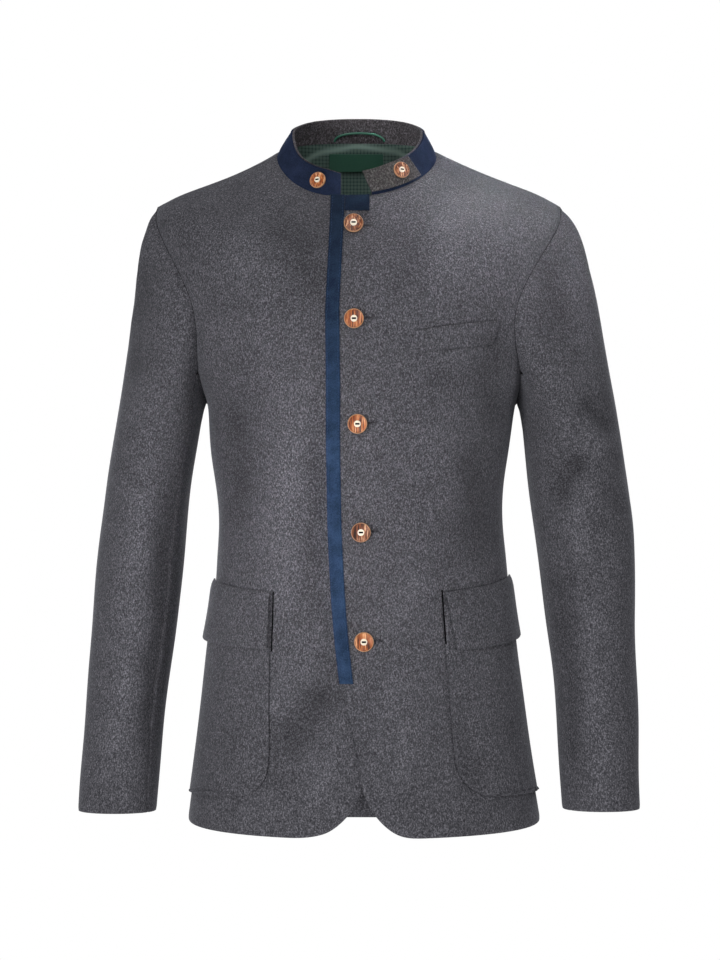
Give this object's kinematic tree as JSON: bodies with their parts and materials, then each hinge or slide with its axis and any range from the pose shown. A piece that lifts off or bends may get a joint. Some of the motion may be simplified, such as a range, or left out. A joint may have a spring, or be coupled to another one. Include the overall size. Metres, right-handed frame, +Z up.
{
  "type": "stand-collar loden wool jacket",
  "caption": "Hip-length grey wool jacket with a blue suede-cloth stand collar, chin tab, front edge band, flap patch pockets and turned buttons, in worn form and hollow.",
  "frame": {"origin": "centre of the neck base at the height of the shoulder neck points, where the wearer's shoulders and neck hold the jacket", "axes": "+Z up along the body, -Y out of the front of the jacket, +X toward the wearer's left sleeve"},
  "size_m": [0.6039, 0.2628, 0.7706],
  "materials": {
    "loden": "felted",
    "suede": "brushed",
    "horn": "polished",
    "cord": "satin",
    "label": "woven",
    "lining": "woven"
  },
  "bodies": {
    "root": {"front_right": "loden", "front_left": "loden", "back": "loden", "sleeve_top_right": "loden", "sleeve_top_left": "loden", "sleeve_under_right": "loden", "sleeve_under_left": "loden", "collar_inner": "loden", "collar_tab": "loden", "pocket_right": "loden", "pocket_left": "loden", "flap_right": "loden", "flap_left": "loden", "breast_welt": "loden", "collar_outer": "suede", "front_trim": "suede", "neck_trim": "suede", "button_1": "horn", "button_2": "horn", "button_3": "horn", "button_4": "horn", "button_5": "horn", "collar_button": "horn", "tab_button": "horn", "hanger_loop": "cord", "neck_label": "label", "back_lining": "lining"}
  },
  "joints": []
}
